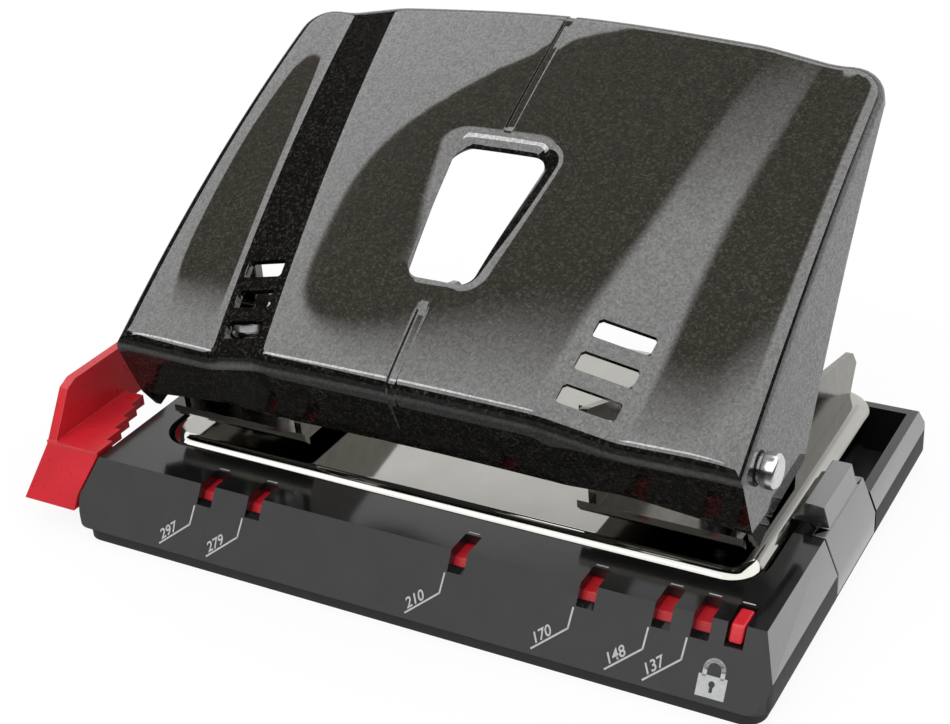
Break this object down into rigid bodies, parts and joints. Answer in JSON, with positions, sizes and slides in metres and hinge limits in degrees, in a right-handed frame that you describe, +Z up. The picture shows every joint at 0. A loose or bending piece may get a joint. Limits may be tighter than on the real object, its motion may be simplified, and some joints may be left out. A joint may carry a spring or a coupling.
{
  "type": "two-hole punch",
  "caption": "Desk two-hole punch with a bowed pressed-steel handle, sprung punch pins, a steel deck over a plastic chip tray and a red sliding paper guide.",
  "frame": {"origin": "middle of the tray's flat underside, on the plane midway between the two punch pins", "axes": "+X to the right along the row of two holes as seen from the front, +Y to the rear, away from the side with the size scale, +Z up"},
  "size_m": [0.1245, 0.075, 0.0698],
  "materials": {
    "handle_paint": "metallic warm grey paint under gloss clear coat",
    "tray_plastic": "black ABS, fine satin texture with a smoother rim",
    "guide_plastic": "gloss",
    "deck_steel": "polished nickel plate",
    "bracket_steel": "zinc plated sheet",
    "pin_steel": "turned and polished",
    "spring_steel": "drawn wire"
  },
  "bodies": {
    "base": {"chip_tray": "tray_plastic", "deck_plate": "deck_steel", "left_bracket": "bracket_steel", "right_bracket": "bracket_steel", "bracket_rivets": "pin_steel", "left_pivot_pin": "pin_steel", "right_pivot_pin": "pin_steel", "pivot_clips": "pin_steel", "left_bush": "pin_steel", "right_bush": "pin_steel", "left_spring": "spring_steel", "right_spring": "spring_steel"},
    "handle": {"handle_shell": "handle_paint", "left_presser": "bracket_steel", "right_presser": "bracket_steel"},
    "left_punch": {"left_punch_pin": "pin_steel"},
    "right_punch": {"right_punch_pin": "pin_steel"},
    "guide": {"paper_guide": "guide_plastic", "guide_click": "guide_plastic"},
    "left_latch_body": {"left_latch": "tray_plastic"},
    "right_latch_body": {"right_latch": "tray_plastic"}
  },
  "joints": [
    {"name": "handle_hinge", "type": "hinge", "parent": "base", "child": "handle", "pos_m": [0, -0.0212, 0.0296], "axis": [-1, 0, 0], "range_deg": [0, 20], "stiffness_Nm_per_rad": 0.4, "springref_deg": -16.62},
    {"name": "left_punch_slide", "type": "slide", "parent": "base", "child": "left_punch", "axis": [0, 0, -1], "range_m": [0, 0.0049], "deforming": ["left_spring"]},
    {"name": "right_punch_slide", "type": "slide", "parent": "base", "child": "right_punch", "axis": [0, 0, -1], "range_m": [0, 0.0049], "deforming": ["right_spring"]},
    {"name": "guide_slide", "type": "slide", "parent": "base", "child": "guide", "axis": [-1, 0, 0], "range_m": [0, 0.08474], "deforming": ["guide_click"]},
    {"name": "left_latch_flex", "type": "hinge", "parent": "base", "child": "left_latch_body", "pos_m": [-0.0555, 0.00035, 0.0029], "axis": [0, -1, 0], "range_deg": [0, 8], "stiffness_Nm_per_rad": 0.5},
    {"name": "right_latch_flex", "type": "hinge", "parent": "base", "child": "right_latch_body", "pos_m": [0.0555, 0.00035, 0.0029], "axis": [0, 1, 0], "range_deg": [0, 8], "stiffness_Nm_per_rad": 0.5}
  ],
  "couplings": [
    {"joint": "left_punch_slide", "follows": "handle_hinge", "m_per_rad": 0.01387},
    {"joint": "right_punch_slide", "follows": "handle_hinge", "m_per_rad": 0.01387}
  ]
}
